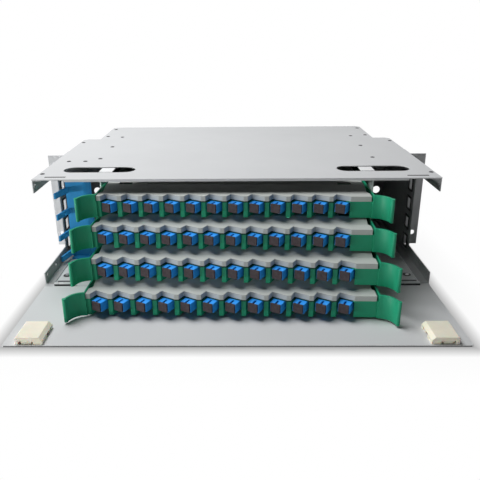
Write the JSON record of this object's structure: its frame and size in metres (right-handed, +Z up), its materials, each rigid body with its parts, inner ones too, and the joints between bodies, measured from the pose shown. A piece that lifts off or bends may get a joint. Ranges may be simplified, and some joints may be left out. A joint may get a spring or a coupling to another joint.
{
  "type": "fibre patch panel",
  "caption": "Rack-mount fibre patch panel: a steel case with a fold-down front door, pull-out trays of angled capped adapters under grey lids, and a fibre guide comb.",
  "frame": {"origin": "underside of the bottom plate, midway between the sides, in the plane where the ears meet the rack", "axes": "+X to the right seen from the front, +Y into the rack, +Z up"},
  "size_m": [0.4826, 0.435, 0.127],
  "materials": {
    "grey_paint": "satin powder coat",
    "white_paint": "satin powder coat",
    "ivory_plastic": "moulded",
    "guide_plastic": "moulded",
    "green_plastic": "moulded",
    "lid_plastic": "moulded",
    "adapter_plastic": "moulded",
    "cap_plastic": "soft"
  },
  "bodies": {
    "chassis": {"top_cover": "grey_paint", "bottom_plate": "grey_paint", "rear_panel": "grey_paint", "left_side_panel": "grey_paint", "right_side_panel": "grey_paint", "left_rack_ear": "grey_paint", "right_rack_ear": "grey_paint", "left_tray_rack": "white_paint", "right_tray_rack": "white_paint", "fibre_guide": "guide_plastic"},
    "tray_1": {"tray_1_base": "green_plastic", "tray_1_lid": "lid_plastic", "tray_1_adapters": "adapter_plastic", "tray_1_dust_caps": "cap_plastic"},
    "tray_2": {"tray_2_base": "green_plastic", "tray_2_lid": "lid_plastic", "tray_2_adapters": "adapter_plastic", "tray_2_dust_caps": "cap_plastic"},
    "tray_3": {"tray_3_base": "green_plastic", "tray_3_lid": "lid_plastic", "tray_3_adapters": "adapter_plastic", "tray_3_dust_caps": "cap_plastic"},
    "tray_4": {"tray_4_base": "green_plastic", "tray_4_lid": "lid_plastic", "tray_4_adapters": "adapter_plastic", "tray_4_dust_caps": "cap_plastic"},
    "door": {"front_door": "grey_paint", "left_latch_housing": "ivory_plastic", "right_latch_housing": "ivory_plastic"},
    "left_latch": {"left_latch_bolt": "ivory_plastic"},
    "right_latch": {"right_latch_bolt": "ivory_plastic"}
  },
  "joints": [
    {"name": "tray_1_slide", "type": "slide", "parent": "chassis", "child": "tray_1", "axis": [0, -1, 0], "range_m": [-0.037, 0.103]},
    {"name": "tray_2_slide", "type": "slide", "parent": "chassis", "child": "tray_2", "axis": [0, -1, 0], "range_m": [-0.0587, 0.0813]},
    {"name": "tray_3_slide", "type": "slide", "parent": "chassis", "child": "tray_3", "axis": [0, -1, 0], "range_m": [-0.08, 0.06]},
    {"name": "tray_4_slide", "type": "slide", "parent": "chassis", "child": "tray_4", "axis": [0, -1, 0], "range_m": [-0.0992, 0.0408]},
    {"name": "door_hinge", "type": "hinge", "parent": "chassis", "child": "door", "pos_m": [0, -0.119, 0.0022], "axis": [1, 0, 0], "range_deg": [0, 90]},
    {"name": "left_latch_slide", "type": "slide", "parent": "door", "child": "left_latch", "axis": [0, -1, 0], "range_m": [0, 0.006]},
    {"name": "right_latch_slide", "type": "slide", "parent": "door", "child": "right_latch", "axis": [0, -1, 0], "range_m": [0, 0.006]}
  ]
}
